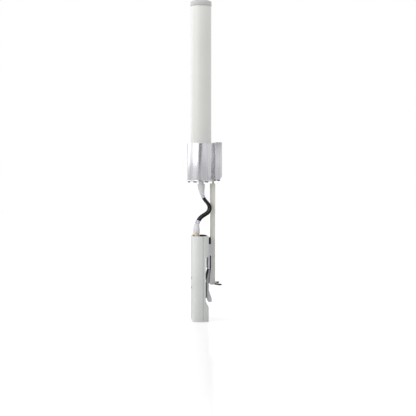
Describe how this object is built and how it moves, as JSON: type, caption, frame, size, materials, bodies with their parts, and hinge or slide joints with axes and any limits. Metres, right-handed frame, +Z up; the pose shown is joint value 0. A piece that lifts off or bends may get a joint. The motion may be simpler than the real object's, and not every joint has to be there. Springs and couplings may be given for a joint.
{
  "type": "omnidirectional antenna",
  "caption": "Outdoor omnidirectional antenna: upright radome tube in an aluminium pole-mount collar, with a radio on a rail below it, joined by short jumper leads.",
  "frame": {"origin": "on the radome's axis, at the radio's flat bottom face, which is the surface that the part stands on", "axes": "+Z up along the radome; the radio's front faces -Y and the pole side faces +Y; +X is to the right seen from the front"},
  "size_m": [0.09, 0.063, 0.611],
  "materials": {
    "radome": "smooth off-white glass-fibre tube",
    "cap": "moulded grey plastic",
    "extrusion": "brushed, clear anodised extrusion",
    "dark_screw": "black-plated pan-head screw",
    "rail_paint": "ivory powder coat on steel, left bare and dark on the foot's toothed edges",
    "shell": "fine-grained white plastic",
    "clip_plastic": "lavender-grey plastic",
    "boot_plastic": "pale grey soft plastic",
    "black_plastic": "black moulded plastic",
    "rubber": "matte black rubber",
    "sleeve": "pale heat-shrink sleeve",
    "gold": "gold-plated brass",
    "copper": "etched copper foil",
    "board": "green laminate board",
    "foam": "white foam",
    "tinned": "tinned sheet steel",
    "lens": "smoked clear plastic"
  },
  "bodies": {
    "antenna": {"antenna_board": "board", "antenna_jack_1": "gold", "antenna_jack_2": "gold", "back_shell": "shell", "base_plug": "black_plastic", "board_spacer": "foam", "bottom_panel": "shell", "clip_screw_1": "dark_screw", "clip_screw_2": "dark_screw", "cap_plug": "cap", "cap_seal": "rubber", "circuit_board": "board", "collar_end_plate": "extrusion", "collar_extrusion": "extrusion", "end_plate_screw_1": "dark_screw", "end_plate_screw_2": "dark_screw", "end_plate_screw_3": "dark_screw", "end_plate_screw_4": "dark_screw", "end_plate_screw_5": "dark_screw", "ethernet_jack": "black_plastic", "feed_lead_1": "tinned", "feed_lead_2": "tinned", "front_shell": "shell", "indicator_lens": "lens", "jack_panel": "black_plastic", "jumper_cable_1": "rubber", "jumper_cable_2": "rubber", "loop_board_1": "board", "loop_board_2": "board", "loop_board_3": "board", "lower_boot_1": "boot_plastic", "lower_boot_2": "boot_plastic", "lower_sleeve_1": "sleeve", "lower_sleeve_2": "sleeve", "mount_rail": "rail_paint", "pole_saddle": "extrusion", "radio_clip": "clip_plastic", "rail_slider": "black_plastic", "radio_jack_1": "gold", "radio_jack_2": "gold", "radome_tube": "radome", "saddle_foot_screw_1": "dark_screw", "saddle_foot_screw_2": "dark_screw", "saddle_screw_1": "dark_screw", "saddle_screw_2": "dark_screw", "shield_can": "tinned", "tongue_screw": "dark_screw", "top_cap": "cap", "upper_boot_1": "boot_plastic", "upper_boot_2": "boot_plastic", "upper_sleeve_1": "sleeve", "upper_sleeve_2": "sleeve", "vertical_radiator": "copper"},
    "latch": {"release_latch": "clip_plastic"},
    "door": {"port_door": "shell"},
    "reset": {"reset_button": "rubber"},
    "upper_nut_1": {"upper_coupling_nut_1": "tinned"},
    "upper_nut_2": {"upper_coupling_nut_2": "tinned"},
    "lower_nut_1": {"lower_coupling_nut_1": "gold"},
    "lower_nut_2": {"lower_coupling_nut_2": "gold"}
  },
  "joints": [
    {"name": "latch_flex", "type": "hinge", "parent": "antenna", "child": "latch", "pos_m": [0, 0.0154, 0.0968], "axis": [-1, 0, 0], "range_deg": [0, 3.2], "stiffness_Nm_per_rad": 6},
    {"name": "port_door_slide", "type": "slide", "parent": "antenna", "child": "door", "axis": [0, 1, 0], "range_m": [0, 0.019]},
    {"name": "reset_press", "type": "slide", "parent": "antenna", "child": "reset", "axis": [0, 0, 1], "range_m": [0, 0.0008], "stiffness_N_per_m": 1200},
    {"name": "upper_nut_turn_1", "type": "hinge", "parent": "antenna", "child": "upper_nut_1", "pos_m": [0.011, 0.0003, 0.26165], "axis": [0, 0, -1], "continuous": true},
    {"name": "upper_nut_turn_2", "type": "hinge", "parent": "antenna", "child": "upper_nut_2", "pos_m": [-0.011, 0.0003, 0.26165], "axis": [0, 0, -1], "continuous": true},
    {"name": "lower_nut_turn_1", "type": "hinge", "parent": "antenna", "child": "lower_nut_1", "pos_m": [0.02, -0.0088, 0.1621], "axis": [0, 0, 1], "continuous": true},
    {"name": "lower_nut_turn_2", "type": "hinge", "parent": "antenna", "child": "lower_nut_2", "pos_m": [-0.02, -0.0088, 0.1621], "axis": [0, 0, 1], "continuous": true}
  ]
}
